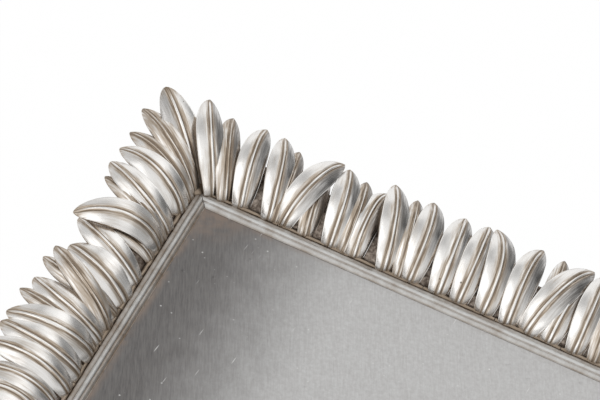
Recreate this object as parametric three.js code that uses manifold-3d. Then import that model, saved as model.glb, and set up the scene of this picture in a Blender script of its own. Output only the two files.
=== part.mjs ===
// A rectangular salver with a border of overlapping cast leaves round a flat, sunk well.
// Millimetres, +Z up. The origin is the centre of the plane that the four feet stand on.
// +X runs along the long sides and +Y along the short ones.
import * as THREE from 'three';
import { mergeVertices } from 'three/addons/utils/BufferGeometryUtils.js';
import Module from 'manifold-3d';

const wasm = await Module();
wasm.setup();

// The well, measured between the tops of the beads
const wellLength = 316;
const wellWidth = 212;
const plateThickness = 2.4;

// The feet
const footHeight = 5;
const footRadius = 9;
const footInset = 34;

// The bead moulding
const beadRadius = 0.95;
const beadCentreHeight = 1.1;
const gutterWidth = 1.6;
const gutterHeight = 0.6;
const grooveWidth = 1.0;
const grooveHeight = 0.85;
const filletWidth = 0.35;
const filletHeight = 1.05;
const slopeWidth = 1.3;
const slopeFootHeight = 0.15;

// The border rail, which carries the leaf castings
const railWidth = 17;
const railHeight = 6.6;
const railCrestOut = 13;
const railLipThickness = 1.8;
const railFootWidth = 9;
const railFootThickness = 3;
const railClearance = 0.3;
const cornerRun = 4;

// The common leaf. The leaves' own rows give shares of these sizes. It is as wide as its share of
// its side and laps a little over the next, so a longer side's leaves still meet.
const leafLength = 40;
const leafLap = 0.75;
const leafThickness = 1.1;
const lobeHeight = 1.5;
const valleyHeight = 0.8;
const leafRootInset = 0.8;
const leafRootHeight = 0.7;
const cornerLeafLength = 42;
const cornerLeafWidth = 13.5;
const rootBarHeight = 1.4;
const leafClearance = 0.3;
const jointClearance = 0.3;
const weldDistance = 0.0005;
const simplifyTolerance = 0.16;

// Angles and counts: a leaf rises steeply at its root and droops at its tip. The counts are
// those of the broad front leaves in half a side.
const leafRise = 72;
const leafDroop = -30;
const leafTurnPower = 1.35;
const cornerLeafRise = 50;
const cornerLeafDroop = 0;
const longSideCount = 16;
const shortSideCount = 11;
const rootWidthShare = 0.62;
const widestShare = 0.46;
const crownShare = 0.6;
const tipFullness = 2.1;
const tipBluntness = 0.8;
const railFullness = 1.25;
const midribSteps = 50;
const stationShares = [0, 0.26, 0.54, 0.82];
const leastTurn = 0.3;
const beadSteps = 6;
const railSteps = 6;
const cornerSteps = 5;
const plateCornerSteps = 4;
const footSteps = 16;

// The foot's outline, as shares of its radius and height
const footShares = [[0, 0], [0.7, 0], [1, 0.3], [0.9, 0.6], [0.7, 0.8], [0.8, 1], [0, 1]];

// The leaves of one quarter of the border, from the corner to the middle of each side.
// Each list is one casting and each row one leaf: how far its root lies from the corner, how far
// a common leaf that lay flat would lean towards the corner, and the lean that it gains up to its
// tip, all three as shares of the half side, then its shares of the common leaf's length and
// width, and the degrees added to its rise.
const longSideShares = [
  [
    [0.05, 0.135, -0.09, 1.03, 0.88, -3],
    [0.09, 0.08, -0.075, 1.02, 1, -1],
    [0.16, 0.055, 0.02, 1.03, 0.95, -1],
    [0.175, 0.035, 0, 0.93, 0.78, -6],
  ],
  [
    [0.19, -0.065, -0.02, 1.03, 1.05, 1],
    [0.25, 0.06, -0.05, 0.82, 0.85, -8],
    [0.31, 0.02, 0.05, 0.98, 1, -2],
    [0.345, 0.01, 0.045, 0.92, 0.78, -6],
  ],
  [
    [0.37, 0.04, -0.085, 0.88, 0.95, -4],
    [0.445, 0.055, 0.03, 1.05, 1, 0],
    [0.48, 0.045, 0, 0.97, 0.75, -6],
    [0.505, -0.01, 0.075, 1.01, 1.05, -1],
  ],
  [
    [0.575, 0.02, -0.005, 0.98, 1.05, -1],
    [0.625, -0.005, 0.025, 1, 1, -1],
    [0.685, -0.025, 0.15, 1.04, 1.05, 0],
  ],
  [
    [0.745, 0.03, -0.07, 1, 1.02, -1],
    [0.79, -0.09, -0.01, 1.07, 1.1, -2],
    [0.81, -0.015, 0.04, 0.99, 0.75, -4],
    [0.845, -0.015, -0.04, 0.89, 1, -3],
  ],
];
const shortSideShares = [
  [
    [0.095, 0.105, 0.03, 0.95, 1.08, 0],
    [0.2, 0.025, 0.25, 1, 1.04, -5],
    [0.245, 0.07, 0.15, 0.93, 0.7, -9],
  ],
  [
    [0.28, -0.02, -0.115, 0.97, 1.25, 6],
    [0.335, 0, 0, 0.8, 0.7, -10],
    [0.45, 0.03, 0.225, 0.92, 1, -10],
    [0.545, 0.035, 0.19, 0.82, 1.34, -9],
  ],
  [
    [0.61, -0.08, 0.33, 0.96, 0.75, -16],
    [0.67, 0.04, 0.26, 1.05, 0.8, 7],
    [0.725, -0.07, 0.34, 0.94, 1.06, -9],
  ],
  [
    [0.765, -0.04, 0.235, 0.96, 0.75, -13],
    [0.79, -0.125, 0.19, 0.93, 1.25, -6],
    [0.88, -0.115, 0.29, 0.93, 1.16, -9],
  ],
];
// One half of the casting over the middle of each side. Only the long side has a centre leaf.
const longMiddleShares = [
  [0.905, 0, 0, 1, 1, 0],
  [0.955, 0.025, 0, 1, 0.85, -4],
];
const shortMiddleShares = [[0.96, -0.01, 0.06, 0.92, 1, -8]];
const longCentreShares = [[1, 0, 0, 1.04, 1.1, 0]];
// The back leaves beside a corner leaf
const longCornerShares = [[0.02, 0.17, -0.1, 1.18, 1, 0]];
const shortCornerShares = [
  [-0.005, 0.155, 0.115, 1.12, 0.85, -7],
  [0.035, 0.11, 0.09, 0.98, 0.8, -8],
];
// The castings in the order that they are fitted, those with crossing leaves first
const longFittingOrder = [1, 4, 0, 2, 3];
const shortFittingOrder = [2, 1, 0, 3];

const halfLength = wellLength / 2;
const halfWidth = wellWidth / 2;
const floorHeight = footHeight + plateThickness;
const gutterEdge = beadRadius + gutterWidth;
const rootLine = gutterEdge + leafRootInset;
const railInner = rootLine + leafThickness + railClearance;
const longSide = {
  along: new THREE.Vector3(1, 0, 0),
  outward: new THREE.Vector3(0, 1, 0),
  run: halfLength,
  leafWidth: halfLength / longSideCount + leafLap,
};
const shortSide = {
  along: new THREE.Vector3(0, -1, 0),
  outward: new THREE.Vector3(-1, 0, 0),
  run: halfWidth,
  leafWidth: halfWidth / shortSideCount + leafLap,
};
const up = new THREE.Vector3(0, 0, 1);
const radians = THREE.MathUtils.degToRad;

const silver = { color: 0xc9c8c6, roughness: 0.35, metalness: 1 };
const patina = { color: 0x6b5d50, roughness: 0.7, metalness: 0.6 };
const satinSilver = { color: 0xa3a2a1, roughness: 0.55, metalness: 1 };

const salver = new THREE.Group();

function addPiece(name, geometry, finish) {
  const mesh = new THREE.Mesh(geometry, new THREE.MeshStandardMaterial(finish));
  mesh.name = name;
  salver.add(mesh);
}

// Closed body through rings of equal count. Each end is closed by the given faces of its outline,
// or by a fan from its first point. A last ring of one point is a tip.
function loft(rings, endFaces) {
  const positions = rings.flat().flatMap((point) => point.toArray());
  const index = [];
  const count = rings[0].length;
  for (let row = 0; row + 1 < rings.length; row += 1) {
    const low = row * count;
    const high = low + count;
    const tip = rings[row + 1].length === 1;
    for (let i = 0; i < count; i += 1) {
      const j = (i + 1) % count;
      if (tip) {
        index.push(low + i, low + j, high);
      } else {
        index.push(low + i, low + j, high + j, low + i, high + j, high + i);
      }
    }
  }
  const fan = Array.from({ length: count - 2 }, (_, i) => [0, i + 1, i + 2]);
  const faces = endFaces ?? fan;
  for (const [a, b, c] of faces) index.push(a, c, b);
  const last = (rings.length - 1) * count;
  if (rings[rings.length - 1].length > 1) {
    for (const [a, b, c] of faces) index.push(last + a, last + b, last + c);
  }
  const geometry = new THREE.BufferGeometry();
  geometry.setAttribute('position', new THREE.Float32BufferAttribute(positions, 3));
  geometry.setIndex(index);
  return facingOut(geometry);
}

// Six times the volume that each triangle of a closed mesh adds
function triangleVolume(place, corners) {
  const [p, q, r] = corners.map((k) => new THREE.Vector3().fromBufferAttribute(place, k));
  return p.dot(q.cross(r));
}

// A closed mesh with its faces turned outward, whichever way they were listed
function facingOut(geometry) {
  const index = geometry.index.array;
  let volume = 0;
  for (let i = 0; i < index.length; i += 3) {
    volume += triangleVolume(geometry.attributes.position, [...index.slice(i, i + 3)]);
  }
  if (volume < 0) {
    for (let i = 0; i < index.length; i += 3) {
      [index[i], index[i + 1]] = [index[i + 1], index[i]];
    }
  }
  return geometry;
}

// The faces that close an outline, all turned the way the outline runs
function outlineFaces(outline) {
  const flat = outline.map(([x, y]) => new THREE.Vector2(x, y));
  const turn = Math.sign(THREE.ShapeUtils.area(flat));
  return THREE.ShapeUtils.triangulateShape(flat, []).map((face) => {
    const area = THREE.ShapeUtils.area(face.map((i) => flat[i]));
    return Math.sign(area) === turn ? face : [face[0], face[2], face[1]];
  });
}

function toSolid(geometry) {
  const bare = geometry.clone();
  bare.deleteAttribute('normal');
  bare.deleteAttribute('uv');
  const merged = mergeVertices(bare, weldDistance);
  return new wasm.Manifold(new wasm.Mesh({
    numProp: 3,
    vertProperties: new Float32Array(merged.attributes.position.array),
    triVerts: new Uint32Array(merged.index.array),
  }));
}

// Merges a vertex into a neighbour wherever that moves the surface by less than the tolerance.
// It takes away the short facets that cuts leave along their edges.
function simplified(points, faces, tolerance) {
  const around = points.map(() => new Set());
  faces.forEach((face, i) => face.forEach((corner) => around[corner].add(i)));
  const normalOf = (face) => {
    const [p, q, r] = face.map((corner) => points[corner]);
    return new THREE.Vector3().crossVectors(q.clone().sub(p), r.clone().sub(p));
  };
  const planes = points.map((point, i) => [...around[i]]
    .map((f) => normalOf(faces[f]))
    .filter((normal) => normal.length() > tolerance * tolerance)
    .map((normal) => new THREE.Plane().setFromNormalAndCoplanarPoint(normal.normalize(), point)));
  const neighbours = (i) => new Set([...around[i]].flatMap((f) => faces[f]).filter((n) => n !== i));
  const moved = (from, to) => Math.max(
    0,
    ...planes[from].map((plane) => Math.abs(plane.distanceToPoint(points[to]))),
  );
  const mayMerge = (from, to) => {
    const ofTo = neighbours(to);
    if ([...neighbours(from)].filter((n) => ofTo.has(n)).length !== 2) return false;
    return [...around[from]].every((f) => {
      if (faces[f].includes(to)) return true;
      const before = normalOf(faces[f]);
      const after = normalOf(faces[f].map((corner) => (corner === from ? to : corner)));
      const turn = before.dot(after) / (before.length() * after.length() || 1);
      return after.length() > tolerance * tolerance && turn > leastTurn;
    });
  };
  for (let merged = true; merged;) {
    merged = false;
    const choices = points.flatMap((_, from) => [...neighbours(from)]
      .map((to) => ({ from, to, cost: moved(from, to) }))
      .filter(({ cost }) => cost < tolerance));
    for (const { from, to } of choices.sort((a, b) => a.cost - b.cost)) {
      if (!neighbours(from).has(to) || moved(from, to) >= tolerance) continue;
      if (!mayMerge(from, to)) continue;
      for (const f of around[from]) {
        if (faces[f].includes(to)) {
          faces[f].forEach((corner) => corner !== from && around[corner].delete(f));
          faces[f] = null;
        } else {
          faces[f] = faces[f].map((corner) => (corner === from ? to : corner));
          around[to].add(f);
        }
      }
      around[from].clear();
      planes[to].push(...planes[from]);
      merged = true;
    }
  }
  return faces.filter((face) => face);
}

// The largest closed body of a solid as a mesh: slivers that a cut leaves loose are dropped
function largestBody(solid) {
  const mesh = solid.getMesh();
  const values = mesh.vertProperties;
  const points = Array.from({ length: values.length / 3 }, (_, i) => new THREE.Vector3()
    .fromArray(values, 3 * i));
  const faces = Array.from({ length: mesh.triVerts.length / 3 }, (_, i) => [
    ...mesh.triVerts.slice(3 * i, 3 * i + 3),
  ]);
  const parent = points.map((_, i) => i);
  const bodyOf = (i) => {
    let top = i;
    while (parent[top] !== top) top = parent[top];
    parent[i] = top;
    return top;
  };
  for (const [a, b, c] of faces) {
    parent[bodyOf(a)] = bodyOf(b);
    parent[bodyOf(b)] = bodyOf(c);
  }
  const volumes = new Map();
  for (const [a, b, c] of faces) {
    const volume = points[a].dot(points[b].clone().cross(points[c]));
    volumes.set(bodyOf(a), (volumes.get(bodyOf(a)) ?? 0) + volume);
  }
  const largest = [...volumes].reduce((best, body) => (body[1] > best[1] ? body : best))[0];
  const kept = faces.filter(([a]) => bodyOf(a) === largest);
  const plain = simplified(points, kept, simplifyTolerance);
  const geometry = new THREE.BufferGeometry().setFromPoints(plain.flat().map((i) => points[i]));
  return mergeVertices(geometry, weldDistance);
}

// The same piece in another quarter of the salver
function mirrored(geometry, signX, signY) {
  const copy = geometry.clone();
  copy.applyMatrix4(new THREE.Matrix4().makeScale(signX, signY, 1));
  return facingOut(copy);
}

// Half of a leaf's width at a share of its length, as a share of its greatest half width
function widthAt(share) {
  if (share < widestShare) {
    return rootWidthShare + (1 - rootWidthShare) * Math.sin((Math.PI / 2) * (share / widestShare));
  }
  const past = (share - widestShare) / (1 - widestShare);
  return (1 - past ** tipFullness) ** tipBluntness;
}

// A leaf's direction at a share of its length: it rises at the root, then turns over outward
function directionAt(leaf, share) {
  const turned = 1 - (1 - share) ** leafTurnPower;
  const rise = radians(leaf.rise + (leaf.droop - leaf.rise) * turned);
  const lean = Math.asin(leaf.lean + leaf.sweep * share);
  return new THREE.Vector3()
    .addScaledVector(leaf.toCorner, Math.cos(rise) * Math.sin(lean))
    .addScaledVector(leaf.outward, Math.cos(rise) * Math.cos(lean))
    .addScaledVector(up, Math.sin(rise));
}

function midrib(leaf) {
  const point = leaf.root.clone();
  const points = [];
  for (let step = 0; step <= midribSteps; step += 1) {
    const share = step / midribSteps;
    points.push({ share, place: point.clone(), along: directionAt(leaf, share) });
    const middle = Math.min((step + 0.5) / midribSteps, 1);
    point.addScaledVector(directionAt(leaf, middle), leaf.length / midribSteps);
  }
  return points;
}

// One leaf: two raised lobes along a sunken midrib, over a flatter back. Growth is the clearance
// that its neighbours keep from it, all round and past both ends.
function leafGeometry(leaf, growth = 0) {
  const stations = midrib(leaf);
  const rings = stationShares.map((share) => {
    const { place, along } = stations[Math.round(midribSteps * share)];
    const side = new THREE.Vector3().crossVectors(along, up).normalize();
    const above = new THREE.Vector3().crossVectors(side, along);
    const swell = widthAt(share);
    const half = (leaf.width / 2) * swell + growth;
    const crown = lobeHeight * swell + growth;
    const valley = valleyHeight * swell + growth;
    const back = leafThickness * swell + growth;
    const start = share === 0 ? -growth : 0;
    const at = (across, high) => place.clone()
      .addScaledVector(along, start)
      .addScaledVector(side, across)
      .addScaledVector(above, high);
    return [
      at(0, valley),
      at(half * crownShare, crown),
      at(half, -back),
      at(-half, -back),
      at(-half * crownShare, crown),
    ];
  });
  const last = stations[midribSteps];
  rings.push([last.place.clone().addScaledVector(last.along, growth)]);
  return loft(rings);
}

// Points of a side's own frame: along the side from the well's corner, out from the bead's top
// and up from the floor of the well
function onSide(side, along, out, high) {
  return new THREE.Vector3(-halfLength, halfWidth, floorHeight + high)
    .addScaledVector(side.along, along)
    .addScaledVector(side.outward, out);
}

function sideLeaf(side, [placeShare, lean, sweep, lengthShare, widthShare, extraRise]) {
  return {
    root: onSide(side, side.run * placeShare, rootLine, leafRootHeight),
    outward: side.outward,
    toCorner: side.along.clone().negate(),
    lean: lean * (side.run / leafLength),
    sweep: sweep * (side.run / leafLength),
    rise: leafRise + extraRise,
    droop: leafDroop,
    length: leafLength * lengthShare,
    width: side.leafWidth * widthShare,
  };
}

function cornerLeaf() {
  const outward = longSide.outward.clone().add(shortSide.outward).normalize();
  return {
    root: onSide(longSide, -rootLine, rootLine, leafRootHeight),
    outward,
    toCorner: new THREE.Vector3().crossVectors(outward, up),
    lean: 0,
    sweep: 0,
    rise: cornerLeafRise,
    droop: cornerLeafDroop,
    length: cornerLeafLength,
    width: cornerLeafWidth,
  };
}

// A straight length with the given outline, whose ends may be mitred
function sideLength(side, outline, from, to, mitre = 0) {
  const end = (place, slant) => outline
    .map(([out, high]) => onSide(side, place + slant * out, out, high));
  return loft([end(from, -mitre), end(to, mitre)], outlineFaces(outline));
}

// The bead moulding's outline, out from the top of the bead and up from the floor
function beadOutline() {
  const bead = arcPoints(beadSteps, (turn) => [
    beadRadius * Math.cos(turn),
    beadCentreHeight + beadRadius * Math.sin(turn),
  ]);
  const grooveEdge = -beadRadius - grooveWidth;
  const filletEdge = grooveEdge - filletWidth;
  return [
    [gutterEdge, 0],
    [gutterEdge, gutterHeight],
    [beadRadius, gutterHeight],
    ...bead,
    [-beadRadius, grooveHeight],
    [grooveEdge, grooveHeight],
    [grooveEdge, filletHeight],
    [filletEdge, filletHeight],
    [filletEdge - slopeWidth, slopeFootHeight],
    [filletEdge - slopeWidth, 0],
  ];
}

// Points by a formula of a turn, a half turn if no ends are given
function arcPoints(steps, formula, from = 0, to = Math.PI) {
  return Array.from({ length: steps + 1 }, (_, i) => formula(from + ((to - from) * i) / steps));
}

// The rail's outline: a shell that rises steeply, crests and curls over outward to a lip, with
// a foot on the plate. Growth is the clearance that the castings keep from it.
function railOutline(growth = 0) {
  const inner = railInner - growth;
  const crest = railCrestOut + growth;
  const height = railHeight + growth;
  const lipTurn = Math.acos(1 - (railWidth + growth) / crest);
  const upper = arcPoints(railSteps, (turn) => [
    inner + crest * (1 - Math.cos(turn)),
    height * Math.sin(turn) ** railFullness,
  ], 0, lipTurn);
  const [lipOut, lipHigh] = upper[railSteps];
  const under = railLipThickness + growth;
  return [
    ...upper,
    [lipOut, lipHigh - under],
    [inner + crest, railHeight - under],
    [railInner + railFootWidth, railFootThickness],
    [railInner + railFootWidth, 0],
  ];
}

// The rail's outline carried from the long side's end round the corner to the short side's end
function cornerBlock(growth = 0) {
  const outline = railOutline(growth);
  const corner = onSide(longSide, -rootLine, rootLine, 0);
  const straight = (side) => outline
    .map(([out, high]) => onSide(side, cornerRun - rootLine + growth, out, high));
  const turned = arcPoints(cornerSteps, (turn) => outline.map(([out, high]) => corner.clone()
    .addScaledVector(longSide.outward, (out - rootLine) * Math.cos(turn))
    .addScaledVector(shortSide.outward, (out - rootLine) * Math.sin(turn))
    .addScaledVector(up, high)), 0, Math.PI / 2);
  return loft([straight(longSide), ...turned, straight(shortSide)], outlineFaces(outline));
}

function beadLength(side) {
  const from = jointClearance / 2;
  return sideLength(side, beadOutline(), from, 2 * side.run - from, 1);
}

function straightRail(side, growth = 0) {
  const from = cornerRun - rootLine + railClearance - growth;
  return sideLength(side, railOutline(growth), from, 2 * side.run - from);
}

// The outer strip of a side's bead moulding, grown by the clearance that the castings keep
function gutterStrip(side) {
  const outer = gutterEdge + leafClearance;
  const top = gutterHeight + leafClearance;
  const outline = [[0, 0], [outer, 0], [outer, top], [0, top]];
  return sideLength(side, outline, -outer, 2 * side.run + outer);
}

// The bar that joins the roots of one casting, between two places along its side
function rootBar(side, from, to, growth = 0) {
  const inner = gutterEdge + railClearance - growth;
  const outer = railInner - railClearance + growth;
  const top = rootBarHeight + growth;
  const outline = [[inner, 0], [outer, 0], [outer, top], [inner, top]];
  return sideLength(side, outline, from - growth, to + growth);
}

// Everything that one casting is joined from, grown by the clearance its neighbours keep
function castingParts({ leaves, bar }, growth = 0) {
  const bodies = leaves.map((leaf) => leafGeometry(leaf, growth));
  return bar ? [...bodies, rootBar(bar.side, bar.from, bar.to, growth)] : bodies;
}

function joined(geometries) {
  return geometries.map(toSolid).reduce((whole, next) => whole.add(next));
}

function without(solid, geometries) {
  return geometries.map(toSolid).reduce((whole, next) => whole.subtract(next), solid);
}

// The castings of one side's half, each bar ending half way to the next casting's first root
function sideCastings(side, lists, middleList) {
  const firstShares = [...lists, middleList].map((list) => list[0][0]);
  const lastShares = lists.map((list) => list[list.length - 1][0]);
  const bounds = lastShares.map((share, i) => side.run * ((share + firstShares[i + 1]) / 2));
  return lists.map((list, i) => ({
    leaves: list.map((row) => sideLeaf(side, row)),
    bar: {
      side,
      from: (i === 0 ? cornerLeafWidth / 4 - rootLine : bounds[i - 1]) + jointClearance / 2,
      to: bounds[i] - jointClearance / 2,
    },
  }));
}

// The castings whose leaves cross over others are fitted first and keep their whole shape.
// Each of the rest is cut to clear the castings beside it that are there already.
function fittedCastings(castings, order, corner, rails) {
  const fitted = new Map();
  for (const place of order) {
    const beside = [place - 1, place + 1].filter((i) => fitted.has(i)).map((i) => castings[i]);
    const cutters = [...rails, ...beside.flatMap((casting) => castingParts(casting, leafClearance))];
    if (place === 0) cutters.push(...castingParts(corner, leafClearance));
    fitted.set(place, largestBody(without(joined(castingParts(castings[place])), cutters)));
  }
  return castings.map((_, i) => fitted.get(i));
}

// The casting over the middle of a side, the same on both sides of the middle
function middleCasting(side, list, centreList, last, rails) {
  const signs = side.along.x ? [-1, 1] : [1, -1];
  const half = list.map((row) => leafGeometry(sideLeaf(side, row)));
  const from = last.bar.to + jointClearance / 2;
  const centre = centreList.map((row) => leafGeometry(sideLeaf(side, row)));
  const bar = rootBar(side, from + jointClearance / 2, 2 * side.run - from - jointClearance / 2);
  const whole = joined([...half, ...half.map((leaf) => mirrored(leaf, ...signs)), ...centre, bar]);
  const beside = castingParts(last, leafClearance);
  const cutters = [...rails, ...beside, ...beside.map((body) => mirrored(body, ...signs))];
  return largestBody(without(whole, cutters));
}

function cornerCasting(corner) {
  const sides = [longSide, shortSide];
  const beside = sides.flatMap((side) => [straightRail(side, railClearance), gutterStrip(side)]);
  return largestBody(without(joined([cornerBlock(), ...castingParts(corner)]), beside));
}

function wellPlate() {
  const reachX = halfLength + railInner + railFootWidth;
  const reachY = halfWidth + railInner + railFootWidth;
  const r = railInner + railFootWidth - rootLine;
  const outline = new THREE.Shape();
  outline.moveTo(-reachX + r, -reachY);
  outline.absarc(reachX - r, -reachY + r, r, -Math.PI / 2, 0, false);
  outline.absarc(reachX - r, reachY - r, r, 0, Math.PI / 2, false);
  outline.absarc(-reachX + r, reachY - r, r, Math.PI / 2, Math.PI, false);
  outline.absarc(-reachX + r, -reachY + r, r, Math.PI, 1.5 * Math.PI, false);
  const plate = new THREE.ExtrudeGeometry(outline, {
    depth: plateThickness,
    bevelEnabled: false,
    curveSegments: plateCornerSteps,
  });
  return plate.translate(0, 0, footHeight);
}

// A low turned foot: a flat base, a waist and a broad seat under the plate
function foot() {
  const profile = footShares
    .map(([out, high]) => new THREE.Vector2(out * footRadius, high * footHeight));
  return new THREE.LatheGeometry(profile, footSteps).rotateX(Math.PI / 2);
}

const quarters = [
  { name: 'back_left', x: 1, y: 1 },
  { name: 'back_right', x: -1, y: 1 },
  { name: 'front_left', x: 1, y: -1 },
  { name: 'front_right', x: -1, y: -1 },
];

addPiece('well_plate', wellPlate(), satinSilver);

addPiece('bead_moulding_back', beadLength(longSide), silver);
addPiece('bead_moulding_front', mirrored(beadLength(longSide), 1, -1), silver);
addPiece('bead_moulding_left', beadLength(shortSide), silver);
addPiece('bead_moulding_right', mirrored(beadLength(shortSide), -1, 1), silver);
addPiece('border_rail_back', straightRail(longSide), patina);
addPiece('border_rail_front', mirrored(straightRail(longSide), 1, -1), patina);
addPiece('border_rail_left', straightRail(shortSide), patina);
addPiece('border_rail_right', mirrored(straightRail(shortSide), -1, 1), patina);

const corner = {
  leaves: [
    cornerLeaf(),
    ...longCornerShares.map((row) => sideLeaf(longSide, row)),
    ...shortCornerShares.map((row) => sideLeaf(shortSide, row)),
  ],
};
const [longRails, shortRails] = [longSide, shortSide].map((side) => [
  straightRail(side, railClearance),
  cornerBlock(railClearance),
  gutterStrip(side),
]);
const longCastings = sideCastings(longSide, longSideShares, longMiddleShares);
const shortCastings = sideCastings(shortSide, shortSideShares, shortMiddleShares);
const cornerPiece = cornerCasting(corner);
const longPieces = fittedCastings(longCastings, longFittingOrder, corner, longRails);
const shortPieces = fittedCastings(shortCastings, shortFittingOrder, corner, shortRails);
const lastCastings = [longCastings.at(-1), shortCastings.at(-1)];
const longMiddle = middleCasting(longSide, longMiddleShares, longCentreShares, lastCastings[0], longRails);
const shortMiddle = middleCasting(shortSide, shortMiddleShares, [], lastCastings[1], shortRails);

for (const { name, x, y } of quarters) {
  const [end, flank] = name.split('_');
  addPiece(`corner_leaves_${name}`, mirrored(cornerPiece, x, y), silver);
  longPieces.forEach((piece, i) => {
    addPiece(`${end}_leaves_${flank}_${i + 1}`, mirrored(piece, x, y), silver);
  });
  shortPieces.forEach((piece, i) => {
    addPiece(`${flank}_leaves_${end}_${i + 1}`, mirrored(piece, x, y), silver);
  });
  const seat = [x * (footInset - halfLength), y * (halfWidth - footInset)];
  addPiece(`foot_${name}`, foot().translate(...seat, 0), satinSilver);
}
addPiece('back_leaves_middle', longMiddle, silver);
addPiece('front_leaves_middle', mirrored(longMiddle, 1, -1), silver);
addPiece('left_leaves_middle', shortMiddle, silver);
addPiece('right_leaves_middle', mirrored(shortMiddle, -1, 1), silver);

export default salver;
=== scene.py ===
import math
import random

import bmesh
import bpy
from mathutils import Matrix, Vector, noise


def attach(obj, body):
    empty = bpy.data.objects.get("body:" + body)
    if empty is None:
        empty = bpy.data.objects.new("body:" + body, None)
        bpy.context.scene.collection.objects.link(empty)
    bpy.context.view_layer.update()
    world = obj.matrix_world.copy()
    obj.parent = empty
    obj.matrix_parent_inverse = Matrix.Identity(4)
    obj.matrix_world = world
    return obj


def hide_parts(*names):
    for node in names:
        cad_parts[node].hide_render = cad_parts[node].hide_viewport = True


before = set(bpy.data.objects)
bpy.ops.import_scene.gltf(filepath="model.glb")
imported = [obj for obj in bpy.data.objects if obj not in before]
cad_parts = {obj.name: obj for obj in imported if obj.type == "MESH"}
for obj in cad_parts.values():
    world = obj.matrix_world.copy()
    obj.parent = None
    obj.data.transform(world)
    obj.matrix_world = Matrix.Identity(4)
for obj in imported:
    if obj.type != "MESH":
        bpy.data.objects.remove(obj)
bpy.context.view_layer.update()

# Camera. The photograph looks down into one corner of the salver from the front right, with a
# long lens, and the picture is turned so that the back side runs down to the right.
camera_place = Vector((-0.0198, -0.4518, 0.6382))
camera_target = Vector((-0.1269, 0.1253, 0.0074))
camera_roll = math.radians(15.89)
camera_data = bpy.data.cameras.new("camera")
camera_data.sensor_width = 36
camera_data.lens = 142.8
camera_data.clip_end = 20
camera = bpy.data.objects.new("camera", camera_data)
bpy.context.scene.collection.objects.link(camera)
looking = (camera_target - camera_place).to_track_quat("-Z", "Y").to_matrix()
camera.matrix_world = Matrix.Translation(camera_place) @ (
    looking @ Matrix.Rotation(camera_roll, 3, "Z")).to_4x4()
bpy.context.scene.camera = camera

# Well plate. One flat cast plate of silvered brass that carries everything, satin-finished with
# fine abrasive, so it has faint undulations, pimples, small pits and hair scratches.
MM = 0.001
half_length_mm = 158
half_width_mm = 106
well_half_length = half_length_mm * MM
well_half_width = half_width_mm * MM
floor_height = 7.4 * MM
plate_thickness = 2.4 * MM
plate_beyond_bead = 13.75 * MM
plate_corner = 10.4 * MM
plate_pitch = 1.6 * MM
plate_under_bead = 1 * MM
undulation = 0.035 * MM
undulation_length = 16 * MM
pimple_count = 150
pimple_radius = (0.3 * MM, 0.75 * MM)
pimple_height = (0.08 * MM, 0.26 * MM)
pimple_field = (0.95, 0.94)
pimple_reach = 1.5 * plate_pitch
pimple_cuts = 5
pit_depth_share = 0.8

# The satin's pattern sizes. Its brush marks and specks are drawn coarser than the real ones, which
# are a few hundredths of a millimetre wide, so that they show from the camera.
brush_mark = (0.55 * MM, 6 * MM, 1 * MM)
brush_turn = math.radians(22)
scratch_cell = (1.5 * MM, 15 * MM, 4 * MM)
scratch_turn = math.radians(-6)
dot_spacing = 4.2 * MM
cloud_size = 9 * MM
speck_size = 1.3 * MM
# Painted shade: the plate's colour darkens between these distances from the short ends, wandering with the
# clouds, as a painted stand-in for the darker reflection there.
painted_end_shade_from = 18 * MM
painted_end_shade_to = 76 * MM
painted_end_shade_wander = 16 * MM
foot_tarnish_from = 1.9 * MM
foot_tarnish_to = 5.8 * MM
foot_tarnish_round = 3 * MM
corner_tarnish_from = 10 * MM
corner_tarnish_to = 34 * MM
satin_relief = 0.06 * MM


def linear(hex_colour):
    """sRGB hex to the linear colour that a shader takes"""
    parts = [int(hex_colour[i:i + 2], 16) / 255 for i in (1, 3, 5)]
    return [p / 12.92 if p <= 0.04045 else ((p + 0.055) / 1.055) ** 2.4 for p in parts] + [1]


def add(tree, kind, values=None, links=None, **settings):
    """Adds a node with its settings, its sockets' values and its links"""
    made = tree.nodes.new(kind)
    for name, value in settings.items():
        setattr(made, name, value)
    for socket, value in (values or {}).items():
        made.inputs[socket].default_value = value
    for socket, source in (links or {}).items():
        tree.links.new(source, made.inputs[socket])
    return made


def new_material(name):
    """A material with an empty node tree, and the tree"""
    material = bpy.data.materials.new(name)
    material.use_nodes = True
    material.node_tree.nodes.clear()
    return material, material.node_tree


def formed_grid(bm, across, along, place):
    """A grid of that many faces whose points are each moved to place(share across, share along)"""
    made = bmesh.ops.create_grid(bm, x_segments=across, y_segments=along, size=0.5)["verts"]
    for vert in made:
        vert.co = place(vert, vert.co.x + 0.5, vert.co.y + 0.5)
    return made


def piece(name, bm, materials, slot, *nodes, sharp=50):
    """Makes the finished object of a mesh: smooth with sharp corners, riding on the salver"""
    bmesh.ops.recalc_face_normals(bm, faces=bm.faces[:])
    for face in bm.faces:
        face.smooth = True
    for edge in bm.edges:
        edge.smooth = edge.calc_face_angle(0) < math.radians(sharp)
    mesh = bpy.data.meshes.new(name)
    bm.to_mesh(mesh)
    bm.free()
    made = bpy.data.objects.new(name, mesh)
    bpy.context.scene.collection.objects.link(made)
    for material in materials:
        mesh.materials.append(material)
    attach(made, "root")
    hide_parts(*nodes)
    return made
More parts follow.
